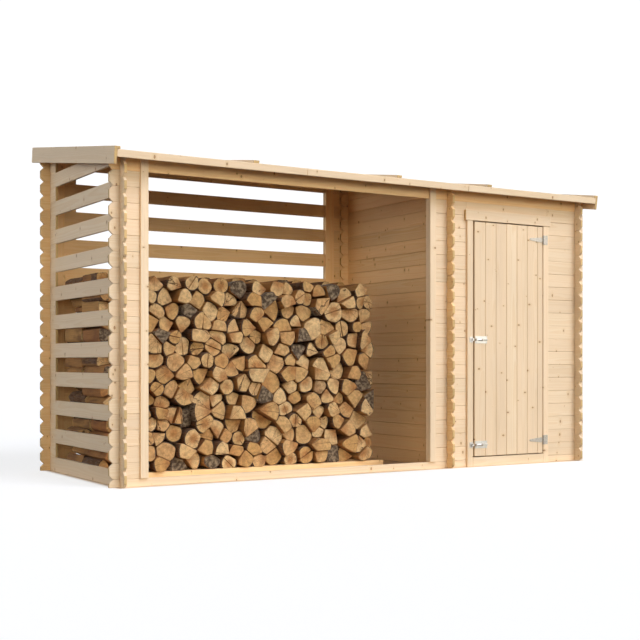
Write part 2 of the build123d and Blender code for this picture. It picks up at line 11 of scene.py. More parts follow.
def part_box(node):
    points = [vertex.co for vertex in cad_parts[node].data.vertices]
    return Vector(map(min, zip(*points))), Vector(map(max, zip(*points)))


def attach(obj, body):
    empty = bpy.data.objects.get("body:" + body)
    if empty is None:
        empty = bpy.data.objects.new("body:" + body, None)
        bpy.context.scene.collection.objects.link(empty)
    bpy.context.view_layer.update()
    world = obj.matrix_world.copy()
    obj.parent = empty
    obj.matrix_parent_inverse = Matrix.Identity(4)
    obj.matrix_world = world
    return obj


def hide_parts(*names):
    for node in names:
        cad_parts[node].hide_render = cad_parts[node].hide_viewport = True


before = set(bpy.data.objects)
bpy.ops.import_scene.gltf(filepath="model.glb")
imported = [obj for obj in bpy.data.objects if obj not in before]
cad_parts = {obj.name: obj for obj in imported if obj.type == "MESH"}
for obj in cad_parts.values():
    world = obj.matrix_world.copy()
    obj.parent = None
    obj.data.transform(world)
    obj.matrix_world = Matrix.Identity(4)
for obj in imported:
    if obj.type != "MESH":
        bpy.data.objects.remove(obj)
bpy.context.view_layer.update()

X = Vector((1, 0, 0))
Y = Vector((0, 1, 0))
Z = Vector((0, 0, 1))

# Sizes of the timber, in metres
COURSE = 0.082  # height that one wall board covers
HALF = COURSE / 2
LEAF_BOARD = 0.084
LEAF_EDGE = 0.02  # least width of the leaf's outer boards
ROOF_BOARD = 0.096
ROOF_EDGE = 0.03
EASED = 0.0026  # rounding of the long edges of a wall board
EASED_INNER = 0.0036
EASED_POST = 0.0025
SHRINK = 0.0009  # gap left at a joint
SHARP = math.radians(25)  # bend from which an edge is rounded
END_GRAIN = 0.75  # cosine to the run of a board from which a face shows end grain

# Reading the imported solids
SAME = 1e-5  # corners this near are one
SHORTEST = 2e-6  # edges shorter than this, which rounding leaves, are taken out
FLAT = 0.002  # faces that bend by less are one
NEAR = 1e-4  # a joint this near to the edge of a wall isn't one
FACING = 0.9  # cosine from which a face looks to the front

# Firewood
LOG_PITCH = 0.1035
LOG_COURSE = 0.0703
LOG_GAP = 0.004
LOG_JITTER = 0.19
LOG_APART = 0.62  # least gap, in pitches, to a log whose place is given
LOG_REACH = 2.2 * LOG_PITCH  # logs farther off don't narrow an outline
ROW_FOOT = 0.0005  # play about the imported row, below, above and at its sides
ROW_TOP = 0.012
ROW_SIDE = 0.002
PROUD = 0.004  # how far out of the row a packed log end stands at least
WHOLE_ROUND = 0.24  # whole rounds up to this share, half rounds up to the next, then wedges
HALF_ROUND = 0.42
IN_HALVES = 0.11  # whole rounds from this share on lie there as two halves
SMALLEST_LOG = 0.0007  # square metres of its end
LOG_STEP = 0.003  # play of its front end
LOG_RINGS = 5  # lengths that a log is drawn out in
LOG_ROUND = 0.012
LOG_CLEFT = 0.0011  # half the gap between two halves
LOG_BOW = 0.0015
LOG_TAPER = 0.012
LOG_LEAN = 0.06  # slant of the sawn ends
LOG_SHAKE = 0.0013  # unevenness of the sides
SAWN = 0.7  # cosine from which a face is a sawn end
END_INSET = 0.88  # share of a sawn end that stays flat, inside its worn rim
END_CROWN = 0.0018
ARC_STEPS = 22
BARK = 0.0045
FACE_ORDER = Vector((1.0, 37.0, 1009.0))  # sorts the faces, which an extrusion leaves in any order

# Ironwork, as packed, and its screws
HINGE_MIDDLE = 0.0285  # plate end to the middle of a hinge
HINGE_SHEET = 0.003
BOLT_SHEET = 0.002
EASED_SHEET = 0.0006
SHEET_SHARP = math.radians(40)
SCREW_HEAD = 0.0036
SCREW_TOP = 0.8  # share of the head that its front measures
SCREW_RECESS = 0.42
SCREW_PROUD = 0.0007
PLATE_SCREW_IN = 0.009  # plate edge to its screws
PLATE_SCREWS = (-0.02, 0, 0.02)  # from the middle of a hinge
STRAP_SCREWS = (0.009, 0.045, 0.081)  # from the end of a strap
BOLT_SCREWS = (  # from the plate's end, half the plate's height, and from its middle line
    ("bolt_guides", "door", (0.007, 0.085), 0.022, 0.0155),
    ("bolt_keepers", "store", (0.008,), 0.017, 0.011),
)

# Camera, found from the photograph
CAMERA_PLACE = (-3.726, -5.992, 0.631)
CAMERA_TURN = math.radians(-31.546)
CAMERA_LENS = 64.66
CAMERA_SHIFT = 0.0659

# Light: a room with bright walls, and a broad key so many degrees wide, up, and to the right
WALL_LIGHT = (2.85, 2.70, 2.30)
OTHER_LIGHTS = (  # colour, the way it comes from, and the cosines between which it takes over
    ((1.1, 1.2, 1.35), (0, 1, 0), (-0.1, 0.3)),  # the dim half behind
    ((0.6, 0.55, 0.45), (-0.96, -0.28, 0), (0.86, 0.97)),  # a dark screen at the left
    ((2.8, 2.8, 2.8), (-0.94, 0.34, 0), (0.78, 0.97)),  # a bright one behind it
    ((0.10, 0.12, 0.16), (0, 0, 1), (0.2, 0.4)),  # the ceiling
)
BACKGROUND = 1.05
KEY_LIGHT = 2.0
KEY_COLOUR = (0.97, 1.0, 1.13)
KEY_WIDTH = 32
KEY_HEIGHT = 44
KEY_SIDE = 25

# Floor: what it throws back, what it shows, and a tan inside the store that is painted warm bounce light
FLOOR_BOUNCE = 0.06
FLOOR_SEEN = 0.3
FLOOR_PAINTED_BOUNCE = (0.88, 0.70, 0.48)
FLOOR_GLOW = 0.76
FLOOR_EDGE = 0.06
FLOOR_HALF = 60
FLOOR_DROP = 0.0005

# Timber, as linear light: new wood, its late wood, and boards with more heart
SPRUCE = ((0.91, 0.72, 0.50), (0.83, 0.60, 0.347), (0.89, 0.654, 0.43))
# The same spruce, darker and more golden: painted shade and warm bounce light, for boards in the shade of
# the bay, the roof's edge and the logs
SPRUCE_PAINTED_SHADE = ((0.95, 0.66, 0.34), (0.868, 0.55, 0.236), (0.93, 0.60, 0.293))
RINGS_PER_METRE = 240.0
KNOT_HEART = (0.50, 0.26, 0.11)
KNOT_RIM = (0.33, 0.145, 0.055)
KNOT_SPACING = (0.21, 0.05)
KNOT_LARGEST = 0.0082
KNOT_SMALLEST = 0.0012
END_LIGHT = (0.80, 0.55, 0.25)
END_DARK = (0.59, 0.37, 0.14)

# Firewood, as linear light
LOG_PALE = (0.71, 0.49, 0.235)
LOG_GOLD = (0.51, 0.29, 0.095)
LOG_RED = (0.55, 0.28, 0.10)
LOG_HEART = (0.37, 0.155, 0.043)
LOG_STAIN = (0.31, 0.14, 0.045)
# edges of the sawn ends: partly wear and dirt, partly painted shade
LOG_EDGE_WEAR_AND_SHADE = (0.12, 0.042, 0.012)
LOG_CRACK = (0.07, 0.034, 0.014)
LOG_RIM = (0.06, 0.036, 0.022)
LOG_OLD = ((0.075, 0.045, 0.024), (0.25, 0.18, 0.105))
SPLIT_WOOD = ((0.34, 0.135, 0.034), (0.48, 0.25, 0.075))
SPLIT_STAIN = (0.15, 0.06, 0.02)
BARK_BROWN = ((0.3, (0.05, 0.017, 0.004)), (0.5, (0.15, 0.065, 0.02)), (0.72, (0.29, 0.16, 0.07)))
BARK_PALE = ((0.38, (0.09, 0.065, 0.045)), (0.5, (0.36, 0.29, 0.21)), (0.8, (0.52, 0.46, 0.37)))
BARK_PLATE = (0.18, 0.115, 0.08)
LOG_RINGS_PER_METRE = 260.0


# Nodes and materials
class Nodes:
    """A tree of nodes and short ways to add to it."""

    def __init__(self, tree):
        self.tree = tree

    def add(self, kind, inputs, **settings):
        """A node with its settings, its inputs given as numbers, colours or other nodes' outputs."""
        node = self.tree.nodes.new(kind)
        for setting, value in settings.items():
            setattr(node, setting, value)
        for key, value in inputs.items():
            self.feed(node.inputs[key], value)
        return node

    def feed(self, socket, value):
        """Connects an output to a socket, or sets the socket's own value."""
        if isinstance(value, bpy.types.NodeSocket):
            self.tree.links.new(value, socket)
        else:
            socket.default_value = value

    def math(self, operation, first, second=0.0, third=0.0):
        """One sum on numbers."""
        node = self.add("ShaderNodeMath", {0: first, 1: second, 2: third}, operation=operation)
        return node.outputs[0]

    def vector(self, operation, first, second=(0, 0, 0)):
        """One sum on vectors."""
        node = self.add("ShaderNodeVectorMath", {0: first, 1: second}, operation=operation)
        return node.outputs["Value" if operation in ("LENGTH", "DOT_PRODUCT") else "Vector"]

    def parts(self, vector):
        """The three numbers of a vector."""
        return self.add("ShaderNodeSeparateXYZ", {0: vector}).outputs

    def whole(self, x, y, z):
        """A vector of three numbers."""
        return self.add("ShaderNodeCombineXYZ", {0: x, 1: y, 2: z}).outputs[0]

    def noise(self, place, stretch, detail=2.0, roughness=0.5, output="Fac"):
        """Smooth noise, stretched along the axes."""
        scaled = self.vector("MULTIPLY", place, stretch)
        node = self.add("ShaderNodeTexNoise", {"Vector": scaled, "Scale": 1.0})
        self.feed(node.inputs["Detail"], detail)
        self.feed(node.inputs["Roughness"], roughness)
        return node.outputs[output]

    def span(self, value, low, high, to_low=0.0, to_high=1.0, smooth=True):
        """Carries one range of numbers over to another, and stops at its ends."""
        node = self.add(
            "ShaderNodeMapRange",
            {0: value, 1: low, 2: high, 3: to_low, 4: to_high},
            interpolation_type="SMOOTHSTEP" if smooth else "LINEAR",
        )
        return node.outputs[0]

    def ramp(self, value, *stops):
        """A colour ramp."""
        node = self.add("ShaderNodeValToRGB", {0: value})
        points = node.color_ramp.elements
        while len(points) < len(stops):
            points.new(0.5)
        for point, (place, colour) in zip(points, stops):
            point.position = place
            point.color = (*colour, 1)
        return node.outputs[0]

    def mix(self, share, first, second, blend="MIX"):
        """Mixes two colours."""
        node = self.add("ShaderNodeMix", {}, data_type="RGBA", blend_type=blend)
        for place, value in ((0, share), (6, first), (7, second)):
            if isinstance(value, tuple) and len(value) == 3:
                value = (*value, 1)
            self.feed(node.inputs[place], value)
        return node.outputs[2]


class Finish(Nodes):
    """A material, and what its finishes have in common."""

    def __init__(self, name):
        self.material = bpy.data.materials.new(name)
        self.material.use_nodes = True
        super().__init__(self.material.node_tree)
        self.shader = self.tree.nodes["Principled BSDF"]

    def attribute(self, name):
        """A vector that the mesh carries."""
        node = self.add("ShaderNodeAttribute", {}, attribute_name=name)
        return node.outputs["Vector"]

    def place(self):
        """Where a point lies on the object."""
        return self.add("ShaderNodeTexCoord", {}).outputs["Object"]

    def log_facts(self):
        """The radius and two draws of a log, and a place from its pith that is like no other log's."""
        section = self.attribute("section")
        facts = self.parts(self.attribute("log"))
        own = self.vector("ADD", section, self.whole(self.math("MULTIPLY", facts[1], 37.0), 0.0, 0.0))
        return facts, own

    def late_wood(self, rings, rise, fall):
        """The dark part of each year ring, which comes slowly and ends sharply."""
        phase = self.math("FRACT", rings)
        return self.math("MULTIPLY", self.span(phase, *rise), self.span(phase, fall, 1.0, 1.0, 0.0))

    def shaded(self, colour, bright):
        """A colour, made brighter or darker."""
        return self.mix(1.0, colour, self.whole(bright, bright, bright), "MULTIPLY")

    def bump(self, height, distance, strength=1.0):
        """Relief from a height."""
        node = self.add("ShaderNodeBump", {"Height": height, "Distance": distance, "Strength": strength})
        self.feed(self.shader.inputs["Normal"], node.outputs[0])

    def finish(self, colour, roughness, metallic=0.0):
        """Feeds the shader."""
        if isinstance(colour, tuple):
            colour = (*colour, 1)
        self.feed(self.shader.inputs["Base Color"], colour)
        self.feed(self.shader.inputs["Roughness"], roughness)
        self.shader.inputs["Metallic"].default_value = metallic
        return self.material


def knots(f, place):
    """Knots, at most one to a cell: what shows, share of the way out, swell, and whether it is real."""
    per_metre = (1 / KNOT_SPACING[0], 1 / KNOT_SPACING[1], 0)
    cells = f.add(
        "ShaderNodeTexVoronoi",
        {"Vector": f.vector("MULTIPLY", place, per_metre), "Scale": 1.0},
        voronoi_dimensions="2D",
        feature="F1",
    )
    centre = f.vector("MULTIPLY", cells.outputs["Position"], (*KNOT_SPACING, 0))
    flat = f.vector("MULTIPLY", place, (1, 1, 0))
    away = f.vector("LENGTH", f.vector("MULTIPLY", f.vector("SUBTRACT", flat, centre), (1.25, 0.75, 0)))
    rough_away = f.math("ADD", away, f.math("MULTIPLY", f.noise(place, (110, 110, 110)), 0.003))
    draw = f.parts(cells.outputs["Color"])
    size = f.span(draw[0], 0.4, 1.0, 0.0, KNOT_LARGEST, smooth=False)
    share = f.math("DIVIDE", rough_away, f.math("MAXIMUM", size, 0.0005))
    knot = f.span(share, 0.75, 1.2, 1.0, 0.0)
    swell = f.math("MULTIPLY", size, f.span(share, 0.3, 4.2, 1.5, 0.0))
    return knot, share, swell, f.math("GREATER_THAN", size, KNOT_SMALLEST)


def year_rings(f, place, swell):
    """Late wood of a sawn board, whose year rings wander and swell round its knots."""
    wander = f.vector("SUBTRACT", f.noise(place, (1.3, 7, 7), output="Color"), (0.5, 0.5, 0.5))
    bent = f.vector("ADD", place, f.vector("MULTIPLY", wander, (0, 0.02, 0.02)))
    reach = f.vector("LENGTH", f.vector("MULTIPLY", bent, (0, 1, 1)))
    rings = f.math("MULTIPLY", f.math("ADD", reach, swell), RINGS_PER_METRE)
    rings = f.math("ADD", rings, f.math("MULTIPLY", f.noise(place, (0.7, 20, 20)), 1.2))
    return f.late_wood(rings, (0.25, 0.85), 0.9)


def planed_timber(name, colours, figure=0.55, roughness=0.62, unlike=0.05):
    """Planed softwood, seen along the grain, its boards unlike each other by some share."""
    f = Finish(name)
    light, dark, warm = colours
    place = f.attribute("grain")
    tone = f.parts(f.attribute("tone"))
    knot, share, swell, real = knots(f, place)
    late = year_rings(f, place, swell)
    fibre = f.noise(place, (12, 620, 620), detail=3.0, roughness=0.6)
    cloud = f.noise(place, (2.2, 14, 14), detail=2.0)
    colour = f.mix(f.math("MULTIPLY", late, figure), light, dark)
    colour = f.mix(f.math("MULTIPLY", tone[1], 0.5), colour, warm)
    bright = f.math("ADD", f.math("MULTIPLY", fibre, 0.16), f.math("MULTIPLY", cloud, 0.14))
    bright = f.math("ADD", f.math("ADD", bright, 0.85), f.math("MULTIPLY", tone[0], unlike))
    colour = f.shaded(colour, bright)
    halo = f.math("MULTIPLY", f.span(share, 0.9, 3.4, 0.75, 0.0), real)
    colour = f.mix(halo, colour, dark)
    inside = f.mix(f.span(share, 0.5, 0.9), KNOT_HEART, KNOT_RIM)
    colour = f.mix(f.math("MULTIPLY", f.math("MULTIPLY", knot, real), 0.9), colour, inside)
    f.bump(f.math("SUBTRACT", f.math("MULTIPLY", fibre, 0.6), f.math("MULTIPLY", late, 0.25)), 0.0006, 0.5)
    return f.finish(colour, roughness)


def timber_end():
    """Sawn end grain, with its arcs of year rings."""
    f = Finish("timber_end")
    place = f.attribute("grain")
    tone = f.parts(f.attribute("tone"))
    pores = f.noise(place, (500, 500, 500), detail=2.0)
    late = year_rings(f, place, knots(f, place)[2])
    colour = f.mix(f.math("MULTIPLY", late, 0.7), END_LIGHT, END_DARK)
    shade = f.math("ADD", f.math("MULTIPLY", tone[0], 0.12), 0.8)
    colour = f.shaded(colour, f.math("ADD", f.math("MULTIPLY", pores, 0.3), shade))
    f.bump(pores, 0.0005, 0.4)
    return f.finish(colour, 0.78)


def zinc(name, colour, roughness, spangle):
    """Zinc on sheet steel, dull in patches."""
    f = Finish(name)
    place = f.place()
    patch = f.noise(place, (90, 90, 90), detail=3.0, roughness=0.6)
    f.bump(f.noise(place, (900, 900, 900), detail=2.0), 0.0002, 0.3)
    dull = f.math("ADD", f.math("MULTIPLY", patch, 0.25), roughness)
    return f.finish(f.shaded(colour, f.span(patch, 0.3, 0.7, 1 - spangle, 1.0)), dull, 1.0)


def end_cracks(f, flat, radius, facts, own):
    """Drying cracks that run out from the pith, on some of the logs."""
    turned = f.vector("MULTIPLY", f.vector("NORMALIZE", flat), (1.3, 1.3, 0))
    bend = f.math("MULTIPLY", f.noise(own, (45, 45, 45)), 0.25)
    turned = f.vector("ADD", turned, f.whole(f.math("MULTIPLY", facts[1], 91.0), 0.0, bend))
    spokes = f.noise(turned, (1, 1, 1), detail=0.0)
    crack = f.math("ABSOLUTE", f.math("SUBTRACT", spokes, 0.52))
    crack = f.math("LESS_THAN", crack, f.span(radius, 0.0, 0.06, 0.012, 0.006))
    cracked = f.math("GREATER_THAN", f.math("FRACT", f.math("MULTIPLY", facts[1], 13.0)), 0.4)
    return f.math("MULTIPLY", f.math("MULTIPLY", crack, cracked), f.span(radius, 0.002, 0.012))


def log_end():
    """Sawn end of a split log: dark heart, rings round the pith, cracks, a rim of bark, and edges darkened
    partly by wear and dirt and partly as painted shade.
    """
    f = Finish("log_end")
    facts, own = f.log_facts()
    flat = f.vector("MULTIPLY", f.attribute("section"), (1, 1, 0))
    radius = f.vector("LENGTH", flat)
    grainy = f.noise(own, (210, 210, 210), detail=3.0, roughness=0.6)
    smear = f.noise(own, (55, 55, 55), detail=2.0)
    blotch = f.noise(own, (24, 24, 24), detail=3.0, roughness=0.6)
    colour = f.mix(facts[2], LOG_GOLD, LOG_PALE)
    colour = f.mix(f.math("MULTIPLY", f.span(facts[1], 0.6, 0.75), 0.4), colour, LOG_RED)
    share = f.math("DIVIDE", radius, facts[0])
    heart = f.span(f.math("ADD", share, f.math("MULTIPLY", blotch, 0.5)), 0.5, 0.95, 1.0, 0.0)
    own_heart = f.span(f.math("FRACT", f.math("MULTIPLY", facts[2], 7.3)), 0.1, 0.8, 0.15, 0.85)
    colour = f.mix(f.math("MULTIPLY", heart, own_heart), colour, LOG_HEART)
    wobble = f.math("MULTIPLY", f.noise(own, (25, 25, 25)), 0.006)
    rings = f.math("MULTIPLY", f.math("ADD", radius, wobble), LOG_RINGS_PER_METRE)
    late = f.late_wood(rings, (0.3, 0.9), 0.92)
    colour = f.mix(f.math("MULTIPLY", late, 0.3), colour, LOG_HEART)
    colour = f.mix(f.span(blotch, 0.5, 0.72, 0.0, 0.55), colour, LOG_STAIN)
    old = f.mix(f.span(smear, 0.35, 0.7), *LOG_OLD)
    colour = f.mix(f.span(facts[1], 0.925, 0.93), colour, old)
    bright = f.math("MULTIPLY", f.span(grainy, 0.3, 0.7, 0.88, 1.1), f.span(smear, 0.3, 0.7, 0.8, 1.14))
    colour = f.shaded(colour, bright)
    crack = end_cracks(f, flat, radius, facts, own)
    colour = f.mix(f.math("MULTIPLY", crack, 0.85), colour, LOG_CRACK)
    # Darker towards the edge of each sawn end: partly worn and dirty, partly painted shade from the gaps
    # between the logs
    edge = f.math("POWER", f.parts(f.attribute("edge"))[0], 1.5)
    edge = f.math("MULTIPLY", edge, f.span(grainy, 0.35, 0.6, 0.5, 1.0))
    colour = f.mix(f.math("MULTIPLY", edge, 0.75), colour, LOG_EDGE_WEAR_AND_SHADE)
    rim = f.math("SUBTRACT", facts[0], f.math("MULTIPLY", grainy, 0.004))
    rim = f.math("GREATER_THAN", radius, f.math("SUBTRACT", rim, BARK - 0.0015))
    colour = f.mix(rim, colour, LOG_RIM)
    f.bump(f.math("SUBTRACT", f.math("MULTIPLY", grainy, 0.6), crack), 0.003, 0.7)
    return f.finish(colour, 0.85)


def log_bark():
    """Furrowed bark along a log, grey to brown, pale on a few."""
    f = Finish("log_bark")
    facts, own = f.log_facts()
    furrow = f.noise(own, (150, 150, 22), detail=4.0, roughness=0.65)
    plates = f.noise(own, (60, 60, 28), detail=3.0, roughness=0.6)
    colour = f.mix(f.span(plates, 0.45, 0.65, 0.0, 0.6), f.ramp(furrow, *BARK_BROWN), BARK_PLATE)
    colour = f.mix(f.span(facts[1], 0.86, 0.88), colour, f.ramp(furrow, *BARK_PALE))
    f.bump(furrow, 0.006, 0.9)
    return f.finish(colour, 0.9)


def log_split():
    """Torn fibres on the split sides of a log."""
    f = Finish("log_split")
    facts, own = f.log_facts()
    fibre = f.noise(own, (260, 260, 7), detail=4.0, roughness=0.6)
    cloud = f.noise(own, (20, 20, 6), detail=3.0)
    colour = f.mix(facts[2], *SPLIT_WOOD)
    colour = f.mix(f.span(cloud, 0.4, 0.7, 0.0, 0.7), colour, SPLIT_STAIN)
    colour = f.shaded(colour, f.math("ADD", f.math("MULTIPLY", fibre, 0.8), 0.6))
    f.bump(fibre, 0.003, 0.8)
    return f.finish(colour, 0.85)


WALL_TIMBER = planed_timber("wall_timber", SPRUCE)
# Painted shade: a darker, golden copy of the wall timber for the boards inside the bay and under the roof's
# edge
PAINTED_SHADE_TIMBER = planed_timber("painted_shade_timber", SPRUCE_PAINTED_SHADE, figure=0.75, unlike=0.09)
POST_TIMBER = planed_timber("post_timber", SPRUCE, figure=0.4)
# Painted shade on the bearers under the logs, from the same darker copy of the spruce
BEARER_TIMBER = planed_timber("bearer_timber", SPRUCE_PAINTED_SHADE, roughness=0.8)
TIMBER_END = timber_end()
DULL_ZINC = zinc("dull_zinc", (0.66, 0.61, 0.55), 0.42, 0.25)
BRIGHT_ZINC = zinc("bright_zinc", (0.78, 0.76, 0.74), 0.26, 0.15)
LOG_MATERIALS = (log_end(), log_bark(), log_split())


# Pieces
def make_piece(name, bm, materials, **facts):
    """A piece from a finished shape, with the vectors that its corners carry for the materials."""
    mesh = bpy.data.meshes.new(name)
    bm.to_mesh(mesh)
    bm.free()
    for fact, values in facts.items():
        mesh.attributes.new(fact, "FLOAT_VECTOR", "POINT").data.foreach_set("vector", values)
    for material in materials:
        mesh.materials.append(material)
    piece = bpy.data.objects.new(name, mesh)
    bpy.context.scene.collection.objects.link(piece)
    return piece


def add_to(whole, bm):
    """Puts a finished board or log with the others."""
    mesh = bpy.data.meshes.new("one")
    bm.to_mesh(mesh)
    bm.free()
    whole.from_mesh(mesh)
    bpy.data.meshes.remove(mesh)


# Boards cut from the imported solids
def merged_copy(node):
    """A node's mesh, with its triangles joined into flat faces."""
    bm = bmesh.new()
    bm.from_mesh(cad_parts[node].data)
    bmesh.ops.remove_doubles(bm, verts=bm.verts, dist=SAME)
    bmesh.ops.dissolve_limit(bm, angle_limit=FLAT, verts=bm.verts, edges=bm.edges)
    return bm


def islands(bm):
    """Groups of faces that hang together."""
    seen = set()
    groups = []
    for start in bm.faces:
        if start in seen:
            continue
        seen.add(start)
        group = [start]
        for face in group:
            for edge in face.edges:
                for other in edge.link_faces:
                    if other not in seen:
                        seen.add(other)
                        group.append(other)
        groups.append(group)
    return groups


def keep_between(bm, axis, low, high):
    """Cuts away what lies outside two planes and closes the cuts."""
    for place, side in ((low, -1), (high, 1)):
        if place is None:
            continue
        geometry = bm.verts[:] + bm.edges[:] + bm.faces[:]
        bmesh.ops.bisect_plane(
            bm, geom=geometry, dist=1e-6, plane_co=axis * place, plane_no=axis * side, clear_outer=True
        )
        open_edges = [edge for edge in bm.edges if edge.is_boundary]
        bmesh.ops.holes_fill(bm, edges=open_edges, sides=0)


def single_boards(node, axis=None, joints=()):
    """The boards of a node, each as a mesh of its own: cut at the joints, and its loose solids apart."""
    base = merged_copy(node)
    limits = [None, *joints, None]
    boards = []
    for low, high in zip(limits, limits[1:]):
        cut = base.copy()
        if axis is not None:
            keep_between(cut, axis, low, high)
        for group in islands(cut):
            board = bmesh.new()
            made = {}
            for face in group:
                corners = []
                for vert in face.verts:
                    if vert not in made:
                        made[vert] = board.verts.new(vert.co)
                    corners.append(made[vert])
                board.faces.new(corners)
            boards.append(board)
        cut.free()
    base.free()
    return boards


def ease(board, width):
    """Rounds the sharp edges of a board, by less where it is thin."""
    board.normal_update()
    sharp = [e for e in board.edges if e.is_manifold and e.calc_face_angle(0) > SHARP]
    bmesh.ops.bevel(
        board, geom=sharp, offset=width, segments=2, profile=0.5, affect="EDGES",
        clamp_overlap=True, material=-1
    )
    bmesh.ops.dissolve_degenerate(board, dist=SHORTEST, edges=board.edges)


def longest_way(board):
    """Direction of a board's longest straight edge."""
    edge = max(board.edges, key=lambda e: e.calc_length())
    return (edge.verts[1].co - edge.verts[0].co).normalized()


def shrink(board, axis, centre):
    """Draws a board in from the joints at its sides."""
    reach = [(v.co - centre).dot(axis) for v in board.verts]
    wide = max(max(reach) - min(reach), 0.01)
    for vert in board.verts:
        vert.co -= axis * ((vert.co - centre).dot(axis) * SHRINK / wide)


def ways_across(run, wide):
    """The two ways across a board that runs one way and is wide about another."""
    side = wide.cross(run)
    if side.length < 0.1:
        side = X.cross(run) if abs(run.dot(X)) < 0.9 else Y.cross(run)
    side.normalize()
    return run.cross(side).normalized(), side


def dress(node, body, material, axis=None, joints=(), eased=EASED, way=None, wide=Z):
    """Replaces a node by its single boards, each with grain, shade and eased edges of its own."""
    draw = random.Random(f"{node}0")
    whole = bmesh.new()
    grain = []
    tones = []
    for board in single_boards(node, axis, joints):
        if len(board.faces) < 4:
            board.free()
            continue
        run = way or longest_way(board)
        ease(board, eased)
        breadth, side = ways_across(run, wide)
        centre = sum((v.co for v in board.verts), Vector()) / len(board.verts)
        if axis is not None:
            shrink(board, axis, centre)
        start = Vector((draw.uniform(0, 60), draw.uniform(-0.035, 0.035), 0))
        start.z = draw.choice((-1, 1)) * draw.uniform(0.03, 0.14)
        shade = (draw.uniform(-1, 1), draw.random(), draw.random())
        for vert in board.verts:
            off = vert.co - centre
            grain.extend((off.dot(run) + start.x, off.dot(breadth) + start.y, off.dot(side) + start.z))
            tones.extend(shade)
        board.normal_update()
        for face in board.faces:
            face.material_index = 1 if abs(face.normal.dot(run)) > END_GRAIN else 0
        add_to(whole, board)
    piece = make_piece(f"{node}_boards", whole, (material, TIMBER_END), grain=grain, tone=tones)
    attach(piece, body)
    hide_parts(node)


def steps(low, high, pitch, start=0.0):
    """Places a pitch apart from start, between two limits."""
    first = math.floor((low - start) / pitch) + 1
    last = math.ceil((high - start) / pitch) - 1
    return [start + pitch * i for i in range(first, last + 1)]


def wall_joints(node, start):
    """Heights of the board joints of a wall."""
    low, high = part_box(node)
    return [z for z in steps(low.z, high.z, COURSE, start) if low.z + NEAR < z < high.z - NEAR]


def dress_walls():
    """Walls, slats and blocks."""
    for node, timber, eased in (
        ("partition_wall", PAINTED_SHADE_TIMBER, EASED_INNER), ("right_wall", WALL_TIMBER, EASED),
    ):
        dress(node, "store", timber, Z, wall_joints(node, 0), eased=eased, way=Y)
    for node, timber in (
        ("front_wall_left", WALL_TIMBER), ("front_wall_middle", WALL_TIMBER),
        ("front_wall_right", WALL_TIMBER), ("over_door_wall", WALL_TIMBER), ("shed_back_wall", PAINTED_SHADE_TIMBER),
    ):
        dress(node, "store", timber, Z, wall_joints(node, HALF), way=X)
    for node, timber in (
        # The top board under the roof's edge and the bay's boards take the timber with painted shade
        ("bay_sill", WALL_TIMBER), ("front_top_board", PAINTED_SHADE_TIMBER), ("bay_back_slats", PAINTED_SHADE_TIMBER),
        ("bay_back_left_blocks", PAINTED_SHADE_TIMBER), ("bay_back_right_blocks", PAINTED_SHADE_TIMBER),
    ):
        dress(node, "store", timber, way=X)
    for node in ("left_wall_slats", "left_wall_front_blocks", "left_wall_back_blocks"):
        dress(node, "store", WALL_TIMBER, way=Y)


def dress_posts():
    """Uprights, the threshold and the strip over the door."""
    for node in ("bay_corner_strip_left", "bay_corner_strip_right", "bay_outer_strip"):
        dress(node, "store", PAINTED_SHADE_TIMBER, eased=EASED_POST, way=Z, wide=X)
    for node in ("bay_post_left", "bay_post_right", "door_post_left", "door_post_right"):
        dress(node, "store", POST_TIMBER, eased=EASED_POST, way=Z, wide=X)
    for node in ("door_threshold", "door_head_trim"):
        dress(node, "store", POST_TIMBER, eased=EASED_POST, way=X)


def dress_door():
    """The leaf's upright boards, its ledges and braces."""
    low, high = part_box("door_boards")
    places = steps(low.x, high.x, LEAF_BOARD, low.x)
    joints = [x for x in places if low.x + LEAF_EDGE < x < high.x - LEAF_EDGE]
    dress("door_boards", "door", WALL_TIMBER, X, joints, way=Z, wide=X)
    dress("door_ledges", "door", POST_TIMBER, eased=EASED_POST, way=X)
    dress("door_braces", "door", POST_TIMBER, eased=EASED_POST)


def dress_roof():
    """Boards up the slope, fascias, bargeboards and battens."""
    slope = longest_way(single_boards("bargeboard_left")[0])
    low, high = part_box("roof_boards")
    joints = steps(low.x + ROOF_EDGE, high.x - ROOF_EDGE, ROOF_BOARD, low.x)
    dress("roof_boards", "store", WALL_TIMBER, X, joints, way=slope, wide=X)
    for node in ("front_fascia", "back_fascia"):
        dress(node, "store", POST_TIMBER, eased=EASED_POST, way=X)
    for node in ("bargeboard_left", "bargeboard_right"):
        dress(node, "store", POST_TIMBER, eased=EASED_POST, way=slope, wide=Z)
    for node in ("roof_battens", "roof_edge_battens"):
        dress(node, "store", POST_TIMBER, way=slope, wide=X)
    dress("firewood_bearers", "store", BEARER_TIMBER, way=X)


# Firewood
def proud_logs(node):
    """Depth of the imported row, and middle, depth and sharpest corner of each log end proud of it."""
    bm = merged_copy(node)
    row = face_of_row(bm)
    found = []
    for face in bm.faces:
        depth = face.calc_center_median().y
        if face.normal.y < -FACING and depth < row - PROUD:
            corners = [loop.vert.co.copy() for loop in face.loops]
            point = min(face.loops, key=lambda loop: loop.calc_angle()).vert.co.copy()
            middle = sum(corners, Vector()) / len(corners)
            found.append((middle, depth, point))
    bm.free()
    return row, found


def face_of_row(bm):
    """Depth of the widest face that looks to the front."""
    fronts = [face for face in bm.faces if face.normal.y < -FACING]
    return max(fronts, key=lambda face: face.calc_area()).calc_center_median().y


